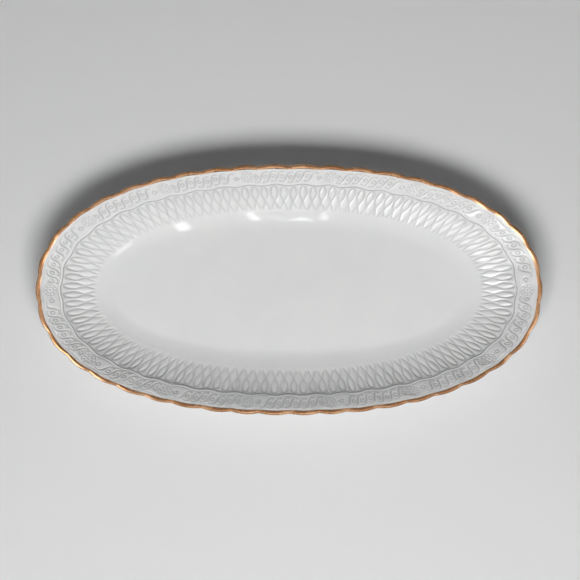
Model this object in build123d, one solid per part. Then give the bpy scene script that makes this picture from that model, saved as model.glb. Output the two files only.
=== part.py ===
"""Oval china serving platter: a fired clay body, its glaze coats and the lustre band on its edge.

Millimetres, +Z up, origin under the middle of the foot ring, long way along X. Every surface is
skinned over horizontal rings. A ring is a superellipse given by the half length and half width of
its scallop valleys, its height, and its swell, which is how far the scallops stand out of it.
"""

import math
import os

from build123d import *

# Overall size
length = 355.0
height = 33.0

# Scalloped edge: fourteen groups of one narrow and two wide scallops
group_count = 14
narrow_share = 0.311
scallop_depth = 1.2
edge = (length / 2 - scallop_depth, 86.8)
superellipse_power = 2.24

# Lip: a half-round edge on a sloping border, covered from side to side by the lustre band
lip_radius = 1.6
border_slope = 35.0
lip_steps = 10

# Groove between the border and the fluted wall
groove = (159.2, 73.1)
groove_height = 22.8
groove_swell = 1.1
border_step = 0.6

# Well floor, and the rise of the wall from it
floor = (122.4, 42.3)
floor_height = 7.0
wall_power = 1.8

# Underside, outside the foot ring
back_drop = 4.4
back_power = 1.7

# Foot ring: outer size of its face, and the recess inside it
foot = (120.4, 40.3)
foot_face_width = 3.0
foot_chamfer = 0.4
foot_draft = 1.0
foot_height = 3.3
recess_height = 3.0

# Glaze coat: its thickness, and how far its end stays above the table
glaze = 0.3
glaze_line = 0.9
glaze_end_bevel = 0.2

# Sampling of the rings
points_per_scallop = 6
outline_samples = 2880
wall_steps = 5
border_steps = 3
back_outer_steps = 3
back_inner_steps = 7


def superellipse(half_length, half_width, angle):
    """The point of a superellipse at a running angle, as x, y."""
    power = 2 / superellipse_power
    x = half_length * math.copysign(abs(math.cos(angle)) ** power, math.cos(angle))
    y = half_width * math.copysign(abs(math.sin(angle)) ** power, math.sin(angle))
    return x, y


def outward(half_length, half_width, x, y):
    """The unit normal of a superellipse at one of its points."""
    power = superellipse_power - 1
    nx = math.copysign(abs(x / half_length) ** power, x) / half_length
    ny = math.copysign(abs(y / half_width) ** power, y) / half_width
    size = math.hypot(nx, ny)
    return nx / size, ny / size


def scallop_places():
    """For each point of a ring, its share of the way round and its place across its scallop."""
    half_narrow = narrow_share / 2
    bounds = [-half_narrow, half_narrow, 0.5, 1 - half_narrow]
    places = []
    for group in range(group_count):
        for start, end in zip(bounds, bounds[1:]):
            for step in range(points_per_scallop):
                across = step / points_per_scallop
                share = (group + start + across * (end - start)) / group_count
                places.append((share % 1.0, across))
    return sorted(places)


def ring(half_length, half_width, z, swell):
    """A closed horizontal ring, its points evenly shared along its superellipse."""
    loop = [
        superellipse(half_length, half_width, 2 * math.pi * i / outline_samples)
        for i in range(outline_samples + 1)
    ]
    run = [0.0]
    for (x0, y0), (x1, y1) in zip(loop, loop[1:]):
        run.append(run[-1] + math.hypot(x1 - x0, y1 - y0))
    points = []
    index = 0
    places = scallop_places()
    for share, across in places:
        target = share * run[-1]
        while run[index + 1] < target:
            index += 1
        part = (target - run[index]) / (run[index + 1] - run[index])
        x = loop[index][0] + part * (loop[index + 1][0] - loop[index][0])
        y = loop[index][1] + part * (loop[index + 1][1] - loop[index][1])
        nx, ny = outward(half_length, half_width, x, y)
        stand = swell * math.sin(math.pi * across)
        points.append(Vector(x + stand * nx, y + stand * ny, z))
    parameters = [share for share, across in places]
    parameters.append(parameters[0] + 1.0)
    return Wire([Edge.make_spline(points, periodic=True, parameters=parameters)])


def skin(rings, ruled=False):
    """The open surface over a run of rings."""
    return Shell.make_loft([ring(*sizes) for sizes in rings], ruled).faces()


def disc(sizes):
    """The flat face that fills one ring."""
    return [Face(ring(*sizes))]


def annulus(outer, inner):
    """The flat face between two rings at one height."""
    return [Face(ring(*outer), [ring(*inner)])]


def closed(*surfaces):
    """A solid from surfaces that meet all round."""
    return Solid(Shell([face for surface in surfaces for face in surface]))


def grown(sizes, amount):
    """A pair of half sizes, both larger by an amount."""
    return sizes[0] + amount, sizes[1] + amount


def blend(start, end, share):
    """The value part of the way from start to end, for numbers or pairs of half sizes."""
    if isinstance(start, tuple):
        return tuple(blend(s, e, share) for s, e in zip(start, end))
    return start + share * (end - start)


def wall_run():
    """Rings of the face from the floor's edge up to the groove."""
    rings = []
    for i in range(wall_steps + 1):
        share = i / wall_steps
        z = blend(floor_height, groove_height, share**wall_power)
        rings.append((*blend(floor, groove, share), z, groove_swell * share**2))
    return rings


def lip_run():
    """Rings over the half-round lip, from its face side to its underside."""
    rings = []
    for i in range(lip_steps + 1):
        angle = math.pi * i / lip_steps - math.radians(border_slope)
        inset = lip_radius * (1 - math.sin(angle))
        drop = lip_radius * (1 - math.cos(angle))
        rings.append((*grown(edge, -inset), height - drop, scallop_depth))
    return rings


def straight_run(start, end, steps):
    """Rings evenly spaced on the straight way from one ring to another."""
    return [blend(start, end, i / steps) for i in range(steps + 1)]


def back_run(start):
    """Rings of the underside from the lustre band in to the foot ring."""
    middle = (*groove, groove_height - back_drop, groove_swell)
    root = grown(foot, foot_draft + glaze)
    rings = straight_run(start, middle, back_outer_steps)
    for i in range(1, back_inner_steps + 1):
        share = 1 - i / back_inner_steps
        z = blend(foot_height - glaze, middle[2], share**back_power)
        rings.append((*blend(root, groove, share), z, groove_swell * share**2))
    return rings


def inner_run(rings, depth):
    """The same run of rings, moved by a depth into the clay. Its two ends move straight up or down."""
    moved = []
    for i, (half_length, half_width, z, swell) in enumerate(rings):
        before = rings[max(i - 1, 0)]
        after = rings[min(i + 1, len(rings) - 1)]
        run = (after[0] + after[1] - before[0] - before[1]) / 2
        rise = after[2] - before[2]
        if i in (0, len(rings) - 1):
            rise = 0.0
        size = math.hypot(run, rise)
        out = depth * rise / size
        down = depth * run / size
        moved.append((half_length + out, half_width + out, z - down, swell))
    return moved


# Coat surface, from the floor's edge over the lip to the foot ring
wall_coat = wall_run()
lip_coat = lip_run()
step_top = (*groove, groove_height + border_step, groove_swell)
border_coat = straight_run(step_top, lip_coat[0], border_steps)
back_coat = back_run(lip_coat[-1])
step_coat = [wall_coat[-1], border_coat[0]]

# Clay surface under it
whole_coat = wall_coat + border_coat + lip_coat[1:] + back_coat[1:]
whole_clay = inner_run(whole_coat, glaze)
ends = [len(wall_coat)]
for run in (border_coat, lip_coat[1:], back_coat[1:]):
    ends.append(ends[-1] + len(run))
wall_clay = whole_clay[: ends[0]]
border_clay = whole_clay[ends[0] : ends[1]]
lip_clay = whole_clay[ends[1] - 1 : ends[2]]
back_clay = whole_clay[ends[2] - 1 : ends[3] - 1]
back_clay.append((*grown(foot, foot_draft), foot_height, 0.0))
step_clay = [wall_clay[-1], border_clay[0]]

# Foot ring and recess
draft_at_line = foot_draft * glaze_line / foot_height
foot_inner = grown(foot, -foot_face_width)
line_clay = (*grown(foot, draft_at_line), glaze_line, 0.0)
line_coat = (*grown(foot, draft_at_line + glaze), glaze_line + glaze_end_bevel, 0.0)
inner_line_clay = (*grown(foot_inner, -draft_at_line), glaze_line, 0.0)
inner_line_coat = (*grown(foot_inner, -draft_at_line - glaze), glaze_line + glaze_end_bevel, 0.0)
recess_clay = (*grown(foot_inner, -foot_draft), recess_height + glaze, 0.0)
recess_coat = (*grown(foot_inner, -foot_draft - glaze), recess_height, 0.0)
foot_outside = [line_clay, (*foot, foot_chamfer, 0.0), (*grown(foot, -foot_chamfer), 0.0, 0.0)]
foot_inside = [
    (*grown(foot_inner, foot_chamfer), 0.0, 0.0),
    (*foot_inner, foot_chamfer, 0.0),
    inner_line_clay,
]

china_body = closed(
    disc(wall_clay[0]),
    skin(wall_clay),
    skin(step_clay, ruled=True),
    skin(border_clay),
    skin(lip_clay),
    skin(back_clay),
    skin([back_clay[-1], line_clay], ruled=True),
    skin(foot_outside, ruled=True),
    annulus(foot_outside[-1], foot_inside[0]),
    skin(foot_inside, ruled=True),
    skin([inner_line_clay, recess_clay], ruled=True),
    disc(recess_clay),
)

face_glaze = closed(
    disc(wall_coat[0]),
    skin(wall_coat),
    skin(step_coat, ruled=True),
    skin(border_coat),
    skin([border_coat[-1], border_clay[-1]], ruled=True),
    skin(border_clay),
    skin(step_clay, ruled=True),
    skin(wall_clay),
    disc(wall_clay[0]),
)

rim_lustre = closed(
    skin(lip_coat),
    skin([lip_coat[-1], lip_clay[-1]], ruled=True),
    skin(lip_clay),
    skin([lip_clay[0], lip_coat[0]], ruled=True),
)

back_glaze = closed(
    skin(back_coat),
    skin([back_coat[-1], line_coat], ruled=True),
    skin([line_coat, line_clay], ruled=True),
    skin([line_clay, back_clay[-1]], ruled=True),
    skin(back_clay),
    skin([back_clay[0], back_coat[0]], ruled=True),
)

recess_glaze = closed(
    disc(recess_coat),
    skin([recess_coat, inner_line_coat], ruled=True),
    skin([inner_line_coat, inner_line_clay], ruled=True),
    skin([inner_line_clay, recess_clay], ruled=True),
    disc(recess_clay),
)

parts = {
    "china_body": china_body,
    "face_glaze": face_glaze,
    "rim_lustre": rim_lustre,
    "back_glaze": back_glaze,
    "recess_glaze": recess_glaze,
}

os.makedirs("parts", exist_ok=True)
for name, shape in parts.items():
    export_step(shape, f"parts/{name}.step")
    print(name, round(shape.volume), shape.is_valid, shape.bounding_box().size)
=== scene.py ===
"""The looks of an oval china serving platter: relief under a clear glaze, a lustre edge, a bare foot.

Sizes are millimetres until make_piece() turns them into metres. Every surface is a path of rings.
A ring runs once round the platter, clockwise from above, and its points are placed by their share
of the way round from the +X end. Ring points with the same share lie on one line from edge to middle.
"""

import math

import bpy
import numpy as np
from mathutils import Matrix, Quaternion, Vector


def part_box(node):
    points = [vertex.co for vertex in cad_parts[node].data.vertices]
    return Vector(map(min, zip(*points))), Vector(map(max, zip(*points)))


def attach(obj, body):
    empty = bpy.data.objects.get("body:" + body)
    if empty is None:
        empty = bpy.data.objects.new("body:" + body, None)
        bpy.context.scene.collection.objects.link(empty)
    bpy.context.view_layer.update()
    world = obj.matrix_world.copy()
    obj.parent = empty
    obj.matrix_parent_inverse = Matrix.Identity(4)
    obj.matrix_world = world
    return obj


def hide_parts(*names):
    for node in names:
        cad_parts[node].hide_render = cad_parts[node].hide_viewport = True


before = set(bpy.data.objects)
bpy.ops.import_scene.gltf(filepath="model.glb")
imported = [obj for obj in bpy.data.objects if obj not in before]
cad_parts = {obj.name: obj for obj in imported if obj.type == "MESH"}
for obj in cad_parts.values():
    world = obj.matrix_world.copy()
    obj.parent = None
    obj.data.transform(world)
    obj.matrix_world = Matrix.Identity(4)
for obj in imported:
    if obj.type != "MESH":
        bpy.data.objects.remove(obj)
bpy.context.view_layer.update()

# ---------------------------------------------------------------- sizes of the plain form, as in CAD

MM = 0.001
GLAZE = 0.3

# Outline: every ring is a superellipse of this power. The scallops stand out of it in groups of one
# narrow scallop, which takes this share of its group, and two wide ones.
POWER = 2.24
SCALLOP = 1.2
GROUPS = 14
NARROW = 0.311

# Lip: its top, the half sizes of the edge in the scallops' valleys, and its half-round section
LIP_BOX = [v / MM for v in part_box("rim_lustre")[1]]
HEIGHT = LIP_BOX[2]
EDGE = np.array([LIP_BOX[0] - SCALLOP, 86.8])
LIP_RADIUS = 1.6
LIP_SLOPE = math.radians(35)

# Groove between the wall and the border, and how far the border stands above it
GROOVE = np.array([159.2, 73.1])
GROOVE_Z = 22.8
GROOVE_SWELL = 1.1
STEP = 0.6

# Well floor, and the rise of the wall from it
FLOOR = np.array([122.4, 42.3])
FLOOR_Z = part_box("face_glaze")[0].z / MM + GLAZE
WALL_POWER = 1.8

# Underside outside the foot ring
BACK_DROP = 4.4
BACK_POWER = 1.7

# Foot ring, the recess inside it, and the height at which the glaze stops
FOOT = np.array([120.4, 40.3])
FOOT_WIDTH = 3.0
FOOT_INSIDE = FOOT - FOOT_WIDTH
FOOT_CHAMFER = 0.4
FOOT_DRAFT = 1.0
FOOT_HEIGHT = 3.3
RECESS_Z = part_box("recess_glaze")[1].z / MM - GLAZE
GLAZE_LINE = 0.9
GLAZE_BEVEL = 0.2
LINE_DRAFT = FOOT_DRAFT * GLAZE_LINE / FOOT_HEIGHT

# ---------------------------------------------------------------- sizes of the relief

# Points of a fine ring, and steps in which the outline's length is added up
FINE = GROUPS * 168
OUTLINE_STEPS = 7200

# How far straight below the plain form the hidden side of the face glaze lies, clear of every cut
UNDER = 1.2

# How far the wall swells in and out once a group, low on its slope
FACET = 0.18

# Where rings of the lip give way to rings of the border: the angle on the lip, and the inset there
LIP_JOIN = math.radians(60)
JOIN_INSET = LIP_RADIUS * (1 - math.sin(math.radians(25)))

# Lustre band on the face: its inset in the valleys, and how much more it is at the scallops
BAND_INSET = 2.5
BAND_SWELL = 0.8

# Bead beside the band: its distance from it, half width and height
BEAD_INSET = 0.8
BEAD_WIDTH = 0.75
BEAD_HEIGHT = 0.22

# Bead beside the groove: its place and half width, as shares of the way from edge to groove, and height
GROOVE_BEAD_PLACE = 0.945
GROOVE_BEAD_WIDTH = 0.038
GROOVE_BEAD_HEIGHT = 0.26

# Pattern of the border: the length of one group, its span across the border, its middle, the slopes
# at its two sides, and its depth. The middle and the slopes are shares of the way from edge to groove.
REPEAT = 57.2
BORDER_SPAN = 15.5
BORDER_MIDDLE = 0.58
FIELD_START = (0.28, 0.32)
FIELD_END = (0.85, 0.89)
CUT_DEPTH = 0.46

# Scale of the rosette, and the strokes after it. A stroke up to STROKE_OVERLAP outside a group reaches in.
ROSETTE = 0.88
STROKES = 7
STROKE_START = 9.5
STROKE_PITCH = 5.75
STROKE_OVERLAP = 8

# Flutes: columns round the wall, the share of its run down to where they fade, their length and depth
FLUTES = 112
FLUTE_REACH = 0.57
FLUTE_LENGTH = 23.0
FLUTE_DEPTH = 0.62

# How far the bottom of the notch lies below the groove's height
NOTCH = 0.4

# How much greyer the glaze is painted, a little for pooled glaze and mostly as painted shade: in the border's
# cuts, at most there, in the notch, and on each side of it
CUT_POOL_AND_SHADE = 1.6
MOST_POOL_AND_SHADE = 1.5
NOTCH_POOL_AND_SHADE = 2.2
BORDER_END_POOL_AND_SHADE = 0.7
WALL_TOP_POOL_AND_SHADE = 0.8


# ---------------------------------------------------------------- small functions

def smooth(value, low, high):
    """0 below low, 1 above high, and an even S between them."""
    t = np.clip((value - low) / (high - low), 0, 1)
    return t * t * (3 - 2 * t)


def bump(distance, width):
    """1 on a line or at a point, falling off smoothly within about twice the width."""
    return np.exp(-((distance / width) ** 2))


def mixed(start, end, share):
    """The value part of the way from start to end."""
    return start + share * (end - start)


# ---------------------------------------------------------------- rings

class Outline:
    """The directions shared by all rings with one number of points."""

    made = {}

    def __init__(self, count):
        angle = np.linspace(0, 2 * np.pi, OUTLINE_STEPS + 1)
        c, s = np.cos(angle), -np.sin(angle)
        c = np.sign(c) * np.abs(c) ** (2 / POWER)
        s = np.sign(s) * np.abs(s) ** (2 / POWER)
        run = np.hypot(np.diff(EDGE[0] * c), np.diff(EDGE[1] * s))
        run = np.concatenate([[0], np.cumsum(run)])
        self.share = np.arange(count) / count
        self.c = np.interp(self.share * run[-1], run, c)
        self.s = np.interp(self.share * run[-1], run, s)
        nx = np.sign(self.c) * np.abs(self.c) ** (POWER - 1) / EDGE[0]
        ny = np.sign(self.s) * np.abs(self.s) ** (POWER - 1) / EDGE[1]
        self.nx, self.ny = nx / np.hypot(nx, ny), ny / np.hypot(nx, ny)
        place = (self.share * GROUPS + NARROW / 2) % 1.0
        wide = (1 - NARROW) / 2
        across = np.where(place < NARROW, place / NARROW, ((place - NARROW) % wide) / wide)
        self.arch = np.sin(np.pi * across)
        self.wave = 0.5 - 0.5 * np.cos(2 * np.pi * across)
        self.corner = np.cos(2 * np.pi * GROUPS * self.share)

    @classmethod
    def of(cls, count):
        if count not in cls.made:
            cls.made[count] = cls(count)
        return cls.made[count]


def ring(half, z, swell=0.0, soft=1.0, count=FINE):
    """One ring of points. Half sizes, height and swell may be one value or one value a point."""
    way = Outline.of(count)
    stand = swell * mixed(way.arch, way.wave, soft)
    x = half[0] * way.c + stand * way.nx
    y = half[1] * way.s + stand * way.ny
    return np.stack([x, y, np.broadcast_to(z, x.shape)], axis=1)


def middle(z):
    """The single point where a surface closes over the origin."""
    return np.array([[0.0, 0.0, z]])


def raised(grid, height):
    """A grid of rings, in from the edge, moved out along its own normals."""
    around = np.roll(grid, -1, axis=1) - np.roll(grid, 1, axis=1)
    inward = np.gradient(grid, axis=0)
    normal = np.cross(inward, around)
    normal /= np.linalg.norm(normal, axis=2, keepdims=True)
    return grid + normal * height[..., None]


def joined(first, second, start, after):
    """Faces between two neighbouring rings, of which one may have half the points, or be one point."""
    n, m = len(first), len(second)
    j = np.arange(min(n, m) if min(n, m) > 1 else max(n, m))
    a, b = (lambda i: start + i % n), (lambda i: after + i % m)
    if n == m:
        return [np.stack([a(j), b(j), b(j + 1), a(j + 1)], axis=1)]
    if m == 1:
        return [np.stack([a(j), b(0 * j), a(j + 1)], axis=1)]
    if n == 1:
        return [np.stack([a(0 * j), b(j), b(j + 1)], axis=1)]
    if n == 2 * m:
        return [
            np.stack([a(2 * j), b(j), a(2 * j + 1)], axis=1),
            np.stack([a(2 * j + 1), b(j), b(j + 1)], axis=1),
            np.stack([a(2 * j + 1), b(j + 1), a(2 * j + 2)], axis=1),
        ]
    return [
        np.stack([a(j), b(2 * j), b(2 * j + 1)], axis=1),
        np.stack([a(j), b(2 * j + 1), a(j + 1)], axis=1),
        np.stack([a(j + 1), b(2 * j + 1), b(2 * j + 2)], axis=1),
    ]


def make_piece(name, path, material, replaces, loop=True, pools_and_shade=None, crease=50):
    """A closed mesh over a path of rings, as a piece of the platter. Pool values say how much greyer each
    ring's glaze is painted, mostly as painted shade.
    """
    starts = np.concatenate([[0], np.cumsum([len(points) for points in path])]).astype(int)
    faces = []
    for i, points in enumerate(path):
        following = (i + 1) % len(path)
        if (i + 1 == len(path) and not loop) or len(points) == len(path[following]) == 1:
            continue
        faces += joined(points, path[following], starts[i], starts[following])
    mesh = bpy.data.meshes.new(name)
    corners = [face for block in faces for face in block.tolist()]
    mesh.from_pydata((np.concatenate(path) * MM).tolist(), [], corners)
    # Painted shade: a point attribute that greys the glaze in cuts and creases, with a little for pooled
    # glaze
    pool_and_shade = mesh.attributes.new("pool_and_shade", "FLOAT", "POINT")
    values = np.zeros(starts[-1], np.float32)
    for i, value in enumerate(pools_and_shade or []):
        values[starts[i] : starts[i + 1]] = value
    pool_and_shade.data.foreach_set("value", values)
    mesh.shade_smooth()
    mesh.set_sharp_from_angle(angle=math.radians(crease))
    mesh.materials.append(material)
    piece = bpy.data.objects.new(name, mesh)
    bpy.context.scene.collection.objects.link(piece)
    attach(piece, "root")
    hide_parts(*replaces)


# ---------------------------------------------------------------- the plain surfaces

def lip_point(angle, radius=LIP_RADIUS):
    """The inset from the edge and the height of a point of the half-round lip, from its inner tangent out."""
    inset = LIP_RADIUS - radius * np.sin(angle - LIP_SLOPE)
    return inset, HEIGHT - LIP_RADIUS + radius * np.cos(angle - LIP_SLOPE)


def lip_soft(inset):
    """How far the scallops have softened on the way in over the lip."""
    return 0.5 * smooth(inset, 1.0, 4.0)


def lip_ring(angle, radius=LIP_RADIUS, count=FINE):
    """A ring of the lip; its scallops are arches outside and soften towards the border."""
    inset, z = lip_point(angle, radius)
    return ring(EDGE[:, None] - inset, z, SCALLOP, lip_soft(inset), count)


def border_ring(inset, drop=0.0, count=FINE):
    """A ring of the face between the lip's crest and the groove, at an inset that may differ by point."""
    span = border_span(count)
    part = inset / span
    half = EDGE[:, None] + (GROOVE - EDGE)[:, None] * part
    tangent = LIP_RADIUS * (1 + math.sin(LIP_SLOPE))
    lip_z = HEIGHT - LIP_RADIUS + np.sqrt(np.maximum(LIP_RADIUS**2 - (inset - LIP_RADIUS) ** 2, 0))
    low = HEIGHT - LIP_RADIUS * (1 - math.cos(LIP_SLOPE))
    slope_z = mixed(low, GROOVE_Z + STEP, (inset - tangent) / (span - tangent))
    z = np.where(inset < tangent, lip_z, slope_z)
    soft = mixed(lip_soft(inset), 1.0, smooth(part, 0.2, 1.0))
    return ring(half, z - drop, mixed(SCALLOP, GROOVE_SWELL, part), soft, count)


def border_span(count=FINE):
    """The distance from the edge to the groove at each share."""
    way = Outline.of(count)
    return np.hypot((EDGE - GROOVE)[0] * way.c, (EDGE - GROOVE)[1] * way.s)


def band_inset(count=FINE):
    """Where the lustre band ends on the face: further in at the scallops than in the valleys."""
    return BAND_INSET + BAND_SWELL * Outline.of(count).arch


def wall_ring(rise, drop=0.0, count=FINE):
    """A ring of the face between the floor's edge, at rise 0, and the groove, at rise 1."""
    facet = FACET * smooth(rise, 0.0, 0.22) * (1 - smooth(rise, 0.35, 1.0)) * Outline.of(count).corner
    half = mixed(FLOOR, GROOVE, rise)[:, None] + facet
    z = mixed(FLOOR_Z, GROOVE_Z, rise**WALL_POWER)
    return ring(half, z - drop, GROOVE_SWELL * rise**4, 1.0, count)


def groove_ring(count=FINE):
    """The ring at the bottom of the notch, where the border's glaze meets the well's."""
    return ring(GROOVE, GROOVE_Z - NOTCH, GROOVE_SWELL, 1.0, count)


def back_ring(part, lift=0.0, count=FINE):
    """A ring of the underside: 0 at the lustre band, 1 under the groove, 2 at the foot."""
    inset, z = lip_point(math.pi)
    low = np.array([*(FOOT + FOOT_DRAFT + GLAZE), FOOT_HEIGHT - GLAZE])
    start = np.array([*(EDGE - inset), z])
    under = np.array([*GROOVE, GROOVE_Z - BACK_DROP])
    if part <= 1:
        x, y, z = mixed(start, under, part)
        return ring((x, y), z + lift, mixed(SCALLOP, GROOVE_SWELL, part), part, count)
    rise = 2 - part
    half = mixed(low[:2], GROOVE, rise)
    z = mixed(low[2], under[2], rise**BACK_POWER)
    return ring(half, z + lift, GROOVE_SWELL * rise**2, 1.0, count)


# ---------------------------------------------------------------- the relief

def nearest(x, y, line):
    """Distances to a line of points, and how far along it the nearest place is, from 0 to 1."""
    best = np.full(x.shape, np.inf)
    along = np.zeros(x.shape)
    steps = len(line) - 1
    for i, ((ax, ay), (bx, by)) in enumerate(zip(line, line[1:])):
        dx, dy = bx - ax, by - ay
        t = np.clip(((x - ax) * dx + (y - ay) * dy) / (dx * dx + dy * dy), 0, 1)
        distance = np.hypot(x - ax - t * dx, y - ay - t * dy)
        nearer = distance < best
        best = np.where(nearer, distance, best)
        along = np.where(nearer, (i + t) / steps, along)
    return best, along


def scroll(reach=6.5, heading=74, turn=105, steps=24):
    """The line of one long S stroke about the origin, leaning clockwise, its ends drooping."""
    s = np.linspace(0, reach, steps)
    bearing = np.radians(heading - turn * (s / reach) ** 2)
    middles = (bearing[1:] + bearing[:-1]) / 2
    x = np.concatenate([[0], np.cumsum(np.cos(middles) * np.diff(s))])
    y = np.concatenate([[0], np.cumsum(np.sin(middles) * np.diff(s))])
    return list(zip(np.concatenate([-x[::-1], x[1:]]), np.concatenate([-y[::-1], y[1:]])))


def pit(x, y, at_x, at_y, radius):
    """A small round pit."""
    return bump(np.hypot(x - at_x, y - at_y), radius)


def ringed_dot(x, y, at_x, at_y):
    """A small raised dot with a ring cut round it."""
    distance = np.hypot(x - at_x, y - at_y)
    return 0.9 * bump(distance - 1.15, 0.42)


def stroke_cut(x, y, place):
    """How deep one S stroke is cut, from 0 to 1, with the pits at its ends and the ringed dot before it."""
    line = scroll()
    distance, along = nearest(x - place, y, line)
    width = 0.42 + 0.22 * bump(along - 0.5, 0.2)
    cut = bump(distance, width) * (0.75 + 0.25 * np.sin(np.pi * along))
    cut = np.maximum(cut, pit(x, y, place + line[0][0], line[0][1], 0.60))
    cut = np.maximum(cut, pit(x, y, place + line[-1][0], line[-1][1], 0.42))
    return np.maximum(cut, ringed_dot(x, y, place - 2.95, 0.3))


def rosette_cut(x, y):
    """How deep the rosette is cut: a pitted middle, a raised ring, and eight petals with dots between."""
    r, turn = np.hypot(x, y) / ROSETTE, np.arctan2(y, x) / (np.pi / 4)
    gap = (0.5 - np.abs(turn % 1.0 - 0.5)) * np.pi / 4
    cut = 0.75 * bump(gap * r, 0.34) * smooth(r, 2.2, 2.8)
    cut = np.maximum(cut, bump(np.hypot(gap * r, r - 2.65), 0.48))
    cut = np.maximum(cut, 0.55 * bump(r - 2.35, 0.30))
    cut = np.maximum(cut, bump(r, 0.55))
    return np.maximum(cut, 0.8 * bump(r - 4.65, 0.38))


def leaf_cut(x, y):
    """How deep the marks beside the rosette are cut: four bars after it, and two dots before it."""
    cut = np.maximum(ringed_dot(x, y, -7.7, 0.0), pit(x, y, -5.6, -0.4, 0.5))
    for offset in (-1.8, -0.6, 0.6, 1.8):
        bar, _ = nearest(x, y, [(5.0, offset), (6.6, 1.15 * offset)])
        cut = np.maximum(cut, 0.9 * bump(bar, 0.30))
    return cut


def crown_cut(x, y):
    """How deep the three short rays outside the rosette are cut."""
    cut = np.zeros(x.shape)
    for lean in (-0.32, 0.0, 0.32):
        ray, _ = nearest(x, y, [(4.95 * lean, 5.0), (6.2 * lean, 6.2 - 0.8 * abs(lean))])
        cut = np.maximum(cut, 0.45 * bump(ray, 0.30))
    return cut


def border_relief(share, part, beyond_band):
    """Height of the border's relief, and how much greyer its glaze is painted there, mostly as painted shade
    in the cuts.

    Part is the share of the way from the edge to the groove; beyond_band is in millimetres.
    """
    x = ((share * GROUPS + 0.5) % 1.0 - 0.5) * REPEAT
    y = (BORDER_MIDDLE - part) * BORDER_SPAN
    cut = leaf_cut(x, y)
    for i in range(STROKES):
        place = STROKE_START + i * STROKE_PITCH
        for turn in (0, REPEAT):
            if abs(place - turn) < REPEAT / 2 + STROKE_OVERLAP:
                cut = np.maximum(cut, stroke_cut(x, y, place - turn))
    inside = 1 - smooth(np.hypot(x, y) / ROSETTE, 4.5, 5.0)
    cut = mixed(cut, rosette_cut(x, y), inside)
    field = smooth(part, *FIELD_START) * (1 - smooth(part, *FIELD_END))
    field = np.maximum(field, inside)
    crown = crown_cut(x, y)
    height = CUT_DEPTH * ((1 - cut) * field - crown)
    beside_groove = (part - GROOVE_BEAD_PLACE) / GROOVE_BEAD_WIDTH
    height += GROOVE_BEAD_HEIGHT * np.clip(1 - beside_groove**2, 0, 1)
    height += BEAD_HEIGHT * np.clip(1 - ((beyond_band - BEAD_INSET) / BEAD_WIDTH) ** 2, 0, 1)
    # The second value is painted shade, deepest in the cuts and along the crown's rays
    return height, np.minimum(CUT_POOL_AND_SHADE * np.maximum(cut * field, crown), MOST_POOL_AND_SHADE)


def flute_relief(share, down):
    """Height of the flutes, and how much greyer their glaze is painted, mostly as painted shade in the cut
    lines, at shares and ways down the wall.

    The flutes are three rows of long pointed cells, the first with round tops. Down is 0 at the
    groove and 1 where the third row fades. Between the platter's axes the columns shift along the
    ring, and more so further down.
    """
    column = FLUTES * share + (0.214 + 0.467 * down) * np.sin(4 * np.pi * share)
    across = np.abs(column % 1.0 - 0.5)
    pitch = 6.8 - 1.2 * down
    top, arch, row, centre, swing = 0.38, 0.29, 0.32, 0.20, 0.15
    half = centre + swing
    u, v = across / half, (top - down) / arch
    reach = np.maximum(np.hypot(u, v), 1e-6)
    rate = np.hypot(u / (reach * half * pitch), v / (reach * arch * FLUTE_LENGTH))
    arch_line = np.abs(reach - 1) / np.maximum(rate, 1e-6)
    turn = np.pi * (down - top) / row
    lean = swing * np.pi / row * np.sin(turn) * pitch / FLUTE_LENGTH
    side_line = np.abs(across - centre - swing * np.cos(turn)) * pitch / np.hypot(1, lean)
    line = np.where(down < top, arch_line, side_line)
    fade = 1 - smooth(down, 0.93, 1.08)
    strength = mixed(1.1, 0.95, smooth(down, 0.20, 0.40))
    strength = strength * mixed(1.0, 0.8, smooth(down, 0.65, 0.9)) * fade
    width = mixed(0.85, 0.62, smooth(down, 0.20, 0.45))
    cut = bump(line, width) * strength
    hollow = 0.08 * fade + FLUTE_DEPTH * (0.5 * cut + 0.5 * bump(line, 1.3) * strength)
    spandrel = 0.15 * smooth(reach, 1.0, 1.25) * (down < top) * (1 - smooth(down, 0.2, 0.38))
    # The second value is painted shade along the flutes' cut lines
    return spandrel - hollow, mixed(1.0, 0.9, smooth(down, 0.1, 0.3)) * cut


def arc_shares(points):
    """Shares of a ring's own length at its points."""
    run = np.linalg.norm(np.diff(points, axis=0, append=points[:1]), axis=1)
    return (np.cumsum(run) - run) / run.sum()


# ---------------------------------------------------------------- materials

# Sockets of a Mix node that mixes colours: its two colours, and its result
MIX_A, MIX_B, MIX_RESULT = 6, 7, 2


def new_material(name):
    """A material with its nodes, and a function that adds a node."""
    material = bpy.data.materials.new(name)
    material.use_nodes = True
    tree = material.node_tree

    def add(kind, **inputs):
        node = tree.nodes.new(kind)
        for key, value in inputs.items():
            socket = node.inputs[key.replace("_", " ")]
            if isinstance(value, bpy.types.NodeSocket):
                tree.links.new(value, socket)
            else:
                socket.default_value = value
        return node

    return material, tree.nodes["Principled BSDF"], add, tree.links.new


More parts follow.
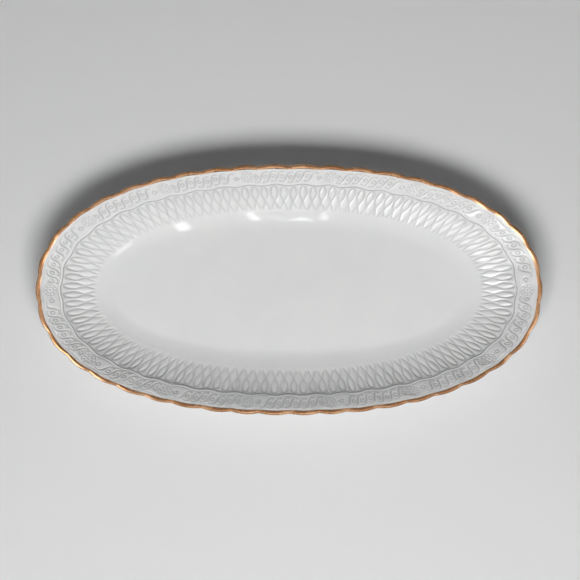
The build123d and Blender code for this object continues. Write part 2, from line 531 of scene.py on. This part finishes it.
def glaze_material():
    """Clear glaze over white clay: glossy, faintly rippled, and painted greyer in the relief's cuts and the
    groove's notch, a little for pooled glaze and mostly as painted shade.
    """
    material, shader, add, link = new_material("clear_glaze")
    pool_and_shade = add("ShaderNodeAttribute")
    pool_and_shade.attribute_name = "pool_and_shade"
    where = add("ShaderNodeTexCoord")
    cloud = add("ShaderNodeTexNoise", Scale=45.0, Detail=3.0)
    link(where.outputs["Object"], cloud.inputs["Vector"])
    tone = add("ShaderNodeMapRange", Value=cloud.outputs["Fac"])
    tone.inputs["From Min"].default_value = 0.3
    tone.inputs["From Max"].default_value = 0.7
    tone.inputs["To Min"].default_value = 0.0
    tone.inputs["To Max"].default_value = 1.0
    white = add("ShaderNodeMix")
    white.data_type = "RGBA"
    white.inputs[MIX_A].default_value = (0.805, 0.807, 0.812, 1)
    white.inputs[MIX_B].default_value = (0.83, 0.828, 0.822, 1)
    link(tone.outputs["Result"], white.inputs[0])
    # Painted shade: the point attribute mixes in a dark grey, most in the notch, standing in for the shade in
    # cuts and creases
    pool_and_shade_share = add("ShaderNodeMath")
    pool_and_shade_share.operation = "MULTIPLY"
    pool_and_shade_share.inputs[1].default_value = 0.36
    link(pool_and_shade.outputs["Fac"], pool_and_shade_share.inputs[0])
    pooled_and_shaded = add("ShaderNodeMix")
    pooled_and_shaded.data_type = "RGBA"
    pooled_and_shaded.inputs[MIX_B].default_value = (0.36, 0.355, 0.345, 1)
    link(pool_and_shade_share.outputs[0], pooled_and_shaded.inputs[0])
    link(white.outputs[MIX_RESULT], pooled_and_shaded.inputs[MIX_A])
    link(pooled_and_shaded.outputs[MIX_RESULT], shader.inputs["Base Color"])
    gloss = add("ShaderNodeMapRange", Value=cloud.outputs["Fac"])
    gloss.inputs["To Min"].default_value = 0.03
    gloss.inputs["To Max"].default_value = 0.06
    link(gloss.outputs["Result"], shader.inputs["Roughness"])
    ripple = add("ShaderNodeTexNoise", Scale=60.0, Detail=1.0)
    link(where.outputs["Object"], ripple.inputs["Vector"])
    surface = add("ShaderNodeBump", Height=ripple.outputs["Fac"], Distance=0.00003, Strength=0.6)
    link(surface.outputs["Normal"], shader.inputs["Normal"])
    shader.inputs["IOR"].default_value = 1.5
    return material


def lustre_material():
    """Burnished copper-gold lustre, thin and worn in places."""
    material, shader, add, link = new_material("copper_lustre")
    where = add("ShaderNodeTexCoord")
    cloud = add("ShaderNodeTexNoise", Scale=90.0, Detail=5.0)
    link(where.outputs["Object"], cloud.inputs["Vector"])
    ramp = add("ShaderNodeValToRGB", Fac=cloud.outputs["Fac"])
    ramp.color_ramp.elements[0].position = 0.32
    ramp.color_ramp.elements[0].color = (0.38, 0.18, 0.08, 1)
    ramp.color_ramp.elements[1].position = 0.68
    ramp.color_ramp.elements[1].color = (0.58, 0.33, 0.18, 1)
    link(ramp.outputs["Color"], shader.inputs["Base Color"])
    gloss = add("ShaderNodeMapRange", Value=cloud.outputs["Fac"])
    gloss.inputs["To Min"].default_value = 0.20
    gloss.inputs["To Max"].default_value = 0.34
    link(gloss.outputs["Result"], shader.inputs["Roughness"])
    grain = add("ShaderNodeTexNoise", Scale=700.0, Detail=3.0)
    link(where.outputs["Object"], grain.inputs["Vector"])
    surface = add("ShaderNodeBump", Height=grain.outputs["Fac"], Distance=0.0001, Strength=0.4)
    link(surface.outputs["Normal"], shader.inputs["Normal"])
    shader.inputs["Metallic"].default_value = 1.0
    return material


def bisque_material():
    """Bare fired clay: matt, fine grained, a little warm, with a few dark specks."""
    material, shader, add, link = new_material("bare_clay")
    where = add("ShaderNodeTexCoord")
    grain = add("ShaderNodeTexNoise", Scale=900.0, Detail=6.0)
    link(where.outputs["Object"], grain.inputs["Vector"])
    ramp = add("ShaderNodeValToRGB", Fac=grain.outputs["Fac"])
    ramp.color_ramp.elements[0].position = 0.30
    ramp.color_ramp.elements[0].color = (0.55, 0.50, 0.43, 1)
    ramp.color_ramp.elements[1].position = 0.55
    ramp.color_ramp.elements[1].color = (0.76, 0.73, 0.67, 1)
    link(ramp.outputs["Color"], shader.inputs["Base Color"])
    surface = add("ShaderNodeBump", Height=grain.outputs["Fac"], Distance=0.0002, Strength=0.6)
    link(surface.outputs["Normal"], shader.inputs["Normal"])
    shader.inputs["Roughness"].default_value = 0.9
    return material


# ---------------------------------------------------------------- the pieces

def make_border(glaze):
    """The glazed border, from the lustre band to the groove, with its beads, scrolls and rosettes."""
    by_band, by_groove = np.linspace(0, 0.14, 7), np.linspace(0.86, 0.985, 6)
    rows = np.concatenate([by_band, np.linspace(0.162, 0.84, 25), by_groove])
    band, span = band_inset(), border_span()
    insets = np.stack([mixed(band, span, row) for row in rows])
    plain = np.stack([border_ring(inset) for inset in insets])
    share = np.broadcast_to(Outline.of(FINE).share, insets.shape)
    height, pool_and_shade = border_relief(share, insets / span, insets - band)
    # Painted shade on the border's last ring, beside the notch
    pool_and_shade[-1] = BORDER_END_POOL_AND_SHADE
    face = list(raised(plain, height)) + [groove_ring()]
    under = [
        border_ring(mixed(band_inset(n), border_span(n), row), UNDER, n)
        for row, n in ((0.97, FINE // 2), (0.9, FINE // 4), (0.1, FINE // 4), (0.02, FINE // 2))
    ]
    # Painted shade in the notch, darkest of all
    pools_and_shade = list(pool_and_shade) + [NOTCH_POOL_AND_SHADE] + [0] * len(under)
    make_piece("border_glaze", face + under, glaze, ["face_glaze"], pools_and_shade=pools_and_shade, crease=65)


def make_well(glaze):
    """The glazed well: the fluted wall and the plain floor."""
    downs = np.concatenate([[0.018, 0.04, 0.065], np.linspace(0.09, 1.15, 27)])
    plain = np.stack([wall_ring(1 - FLUTE_REACH * down) for down in downs])
    share = np.stack([arc_shares(points) for points in plain])
    # The rows are a little longer at the platter's ends than along its sides
    stretched = downs[:, None] * (1.01 - 0.07 * np.cos(4 * np.pi * share))
    height, pool_and_shade = flute_relief(share, stretched)
    # Painted shade on the wall's top ring, beside the notch
    pool_and_shade[0] = WALL_TOP_POOL_AND_SHADE
    face = [groove_ring()] + list(raised(plain, height))
    # Painted shade in the notch, darkest of all
    pools_and_shade = [NOTCH_POOL_AND_SHADE] + list(pool_and_shade)
    last = 1 - FLUTE_REACH * downs[-1]
    # Below the flutes and underneath, the rings have a half to a sixteenth of a fine ring's points
    for i, n in enumerate((2, 2, 2, 4, 4, 4, 8)):
        face.append(wall_ring(last * (6 - i) / 7, 0, FINE // n))
    face += [ring(FLOOR * scale, FLOOR_Z, count=FINE // 8) for scale in (0.85, 0.65, 0.45, 0.25)]
    face += [ring(FLOOR * 0.1, FLOOR_Z, count=FINE // 16), middle(FLOOR_Z)]
    under = [middle(FLOOR_Z - UNDER), ring(FLOOR * 0.5, FLOOR_Z - UNDER, count=FINE // 16)]
    for rise, n in zip(np.append(np.linspace(0, 0.875, 8), 0.96), (16, 16, 8, 8, 4, 4, 4, 2, 2)):
        under.append(wall_ring(rise, UNDER, FINE // n))
    pools_and_shade += [0] * (len(face) + len(under) - len(pools_and_shade))
    make_piece("well_glaze", face + under, glaze, ["face_glaze"], pools_and_shade=pools_and_shade, crease=65)


def make_lustre(lustre):
    """The lustre band, over the lip from its underside to a wandering line on the face."""
    outside = [lip_ring(angle) for angle in np.linspace(math.pi, LIP_JOIN, 22)]
    outside += [border_ring(mixed(JOIN_INSET, band_inset(), row)) for row in np.linspace(0.12, 1, 10)]
    inside = [border_ring(mixed(JOIN_INSET, band_inset(), row), GLAZE) for row in (1.0, 0.5)]
    inside += [lip_ring(angle, LIP_RADIUS - GLAZE) for angle in np.linspace(LIP_JOIN, math.pi, 8)]
    make_piece("rim_lustre_band", outside + inside, lustre, ["rim_lustre"])


def make_back(glaze):
    """The glaze under the platter, from the lustre band to the line where it was wiped off the foot."""
    n = FINE // 2
    rows = np.concatenate([np.linspace(0, 1, 8), np.linspace(1.06, 2, 16)])
    outer = [back_ring(row, 0, n) for row in rows[::-1]]
    start = [
        ring(FOOT + LINE_DRAFT, GLAZE_LINE, count=n),
        ring(FOOT + LINE_DRAFT + GLAZE, GLAZE_LINE + GLAZE_BEVEL, count=n),
    ]
    inner = [back_ring(row, GLAZE, n) for row in np.linspace(0, 1.9, 8)]
    inner.append(ring(FOOT + FOOT_DRAFT, FOOT_HEIGHT, count=n))
    make_piece("underside_glaze", start + outer + inner, glaze, ["back_glaze"])


def make_recess(glaze):
    """The glaze in the recess inside the foot ring."""
    n = FINE // 4
    corner = FOOT_INSIDE - FOOT_DRAFT - GLAZE
    path = [middle(RECESS_Z)]
    path += [ring(corner * scale, RECESS_Z, count=n) for scale in (0.5, 0.9, 0.97, 1)]
    path.append(ring(FOOT_INSIDE - LINE_DRAFT - GLAZE, GLAZE_LINE + GLAZE_BEVEL, count=n))
    path.append(ring(FOOT_INSIDE - LINE_DRAFT, GLAZE_LINE, count=n))
    path.append(ring(FOOT_INSIDE - FOOT_DRAFT, RECESS_Z + GLAZE, count=n))
    path.append(middle(RECESS_Z + GLAZE))
    make_piece("recess_glaze_coat", path, glaze, ["recess_glaze"], loop=False)


def make_clay(bisque):
    """The clay body under the coats. Only the ring that it stands on is bare."""
    n = FINE // 2
    foot = [
        (FOOT_INSIDE - FOOT_DRAFT, RECESS_Z + GLAZE),
        (FOOT_INSIDE - LINE_DRAFT, GLAZE_LINE),
        (FOOT_INSIDE, FOOT_CHAMFER),
        (FOOT_INSIDE + FOOT_CHAMFER, 0),
        (FOOT - FOOT_CHAMFER, 0),
        (FOOT, FOOT_CHAMFER),
        (FOOT + LINE_DRAFT, GLAZE_LINE),
        (FOOT + FOOT_DRAFT, FOOT_HEIGHT),
    ]
    path = [middle(RECESS_Z + GLAZE)] + [ring(half, z, count=n) for half, z in foot]
    path += [back_ring(row, GLAZE, n) for row in np.linspace(1.9, 0, 8)]
    path += [lip_ring(angle, LIP_RADIUS - GLAZE, n) for angle in np.linspace(math.pi, LIP_JOIN, 8)]
    path.append(border_ring(mixed(JOIN_INSET, band_inset(n), 0.5), GLAZE, n))
    path.append(border_ring(band_inset(n), UNDER, n))
    path += [border_ring(mixed(band_inset(n), border_span(n), row), UNDER, n) for row in (0.5, 1)]
    path += [wall_ring(rise, UNDER, n) for rise in np.linspace(1, 0, 9)]
    path.append(middle(FLOOR_Z - UNDER))
    make_piece("clay_body", path, bisque, ["china_body"], loop=False)


# ---------------------------------------------------------------- the studio

FLOOR_REACH = 6.0  # metres from the middle to each side
FAR = 6.0  # metres to all lamps but the nearest two


def make_stage():
    """A pale plain floor."""
    mesh = bpy.data.meshes.new("floor")
    corners = [(x * FLOOR_REACH, y * FLOOR_REACH, 0) for x, y in ((-1, -1), (1, -1), (1, 1), (-1, 1))]
    mesh.from_pydata(corners, [], [(0, 1, 2, 3)])
    floor = bpy.data.objects.new("floor", mesh)
    bpy.context.scene.collection.objects.link(floor)
    material, shader, _, _ = new_material("pale_floor")
    shader.inputs["Base Color"].default_value = (0.78, 0.78, 0.78, 1)
    shader.inputs["Roughness"].default_value = 0.9
    mesh.materials.append(material)


def softbox(name, bearing, elevation, distance, size, radiance, diffuse=True, glossy=True, roll=0.0):
    """A rectangular lamp aimed at the platter. Its bearing is in degrees clockwise from the near side."""
    light = bpy.data.lights.new(name, "AREA")
    light.shape = "RECTANGLE"
    light.size, light.size_y = size
    light.energy = radiance * math.pi * size[0] * size[1]
    lamp = bpy.data.objects.new(name, light)
    bpy.context.scene.collection.objects.link(lamp)
    side, up = math.radians(bearing), math.radians(elevation)
    out = Vector((-math.sin(side) * math.cos(up), -math.cos(side) * math.cos(up), math.sin(up)))
    lamp.location = out * distance
    turned = out.to_track_quat("Z", "Y") @ Quaternion((0, 0, 1), math.radians(roll))
    lamp.rotation_euler = turned.to_euler()
    lamp.visible_diffuse = diffuse
    lamp.visible_glossy = glossy
    lamp.visible_camera = False


def make_lights():
    """A broad lamp on the near side, and lamps that only the glaze and the lustre mirror."""
    softbox("key", 0, 61, 1.4, (0.9, 0.5), 11.3, glossy=False)
    softbox("canopy", 0, 62, 1.5, (4.4, 2.4), 0.65, diffuse=False)
    softbox("backdrop", 180, 35, FAR, (8.0, 4.0), 0.5, diffuse=False)
    for i, bearing in enumerate((-100, 100)):
        softbox(f"side_{i}", bearing, 40, FAR, (6.0, 5.0), 0.6, diffuse=False)
    softbox("window", 46, 29, FAR, (2.7, 3.0), 11.0, diffuse=False)
    softbox("doorway", -62, 33, FAR, (2.0, 2.0), 5.0, diffuse=False)
    softbox("skylight", -31, 54, FAR, (0.8, 0.85), 5.5, diffuse=False)
    softbox("glint", 9.2, 29, FAR, (0.3, 0.5), 8.0, diffuse=False)
    # Bearing, elevation, width and roll of each narrow lamp
    strips = ((-10.8, 50, 0.20, 5), (-2.4, 48, 0.11, 3), (1.9, 45, 0.10, 0))
    for i, (bearing, elevation, width, roll) in enumerate(strips):
        softbox(f"strip_{i}", bearing, elevation, FAR, (width, 2.9), 8.0, diffuse=False, roll=roll)
    world = bpy.data.worlds.new("room")
    bpy.context.scene.world = world
    world.use_nodes = True
    background = world.node_tree.nodes["Background"]
    background.inputs["Color"].default_value = (0.98, 0.99, 1.0, 1)
    background.inputs["Strength"].default_value = 0.10


def make_camera():
    """The camera, straight above, with the platter a little left of its middle."""
    camera = bpy.data.cameras.new("camera")
    view = bpy.data.objects.new("camera", camera)
    bpy.context.scene.collection.objects.link(view)
    distance, width = 2.60, 0.4060
    aside = (0.00067, -0.00024)
    camera.sensor_width = 36.0
    camera.lens = camera.sensor_width * distance / width
    view.location = (*aside, distance + HEIGHT * MM)
    bpy.context.scene.camera = view


glaze = glaze_material()
make_border(glaze)
make_well(glaze)
make_lustre(lustre_material())
make_back(glaze)
make_recess(glaze)
make_clay(bisque_material())
make_stage()
make_lights()
make_camera()
bpy.context.scene.view_settings.view_transform = "Standard"
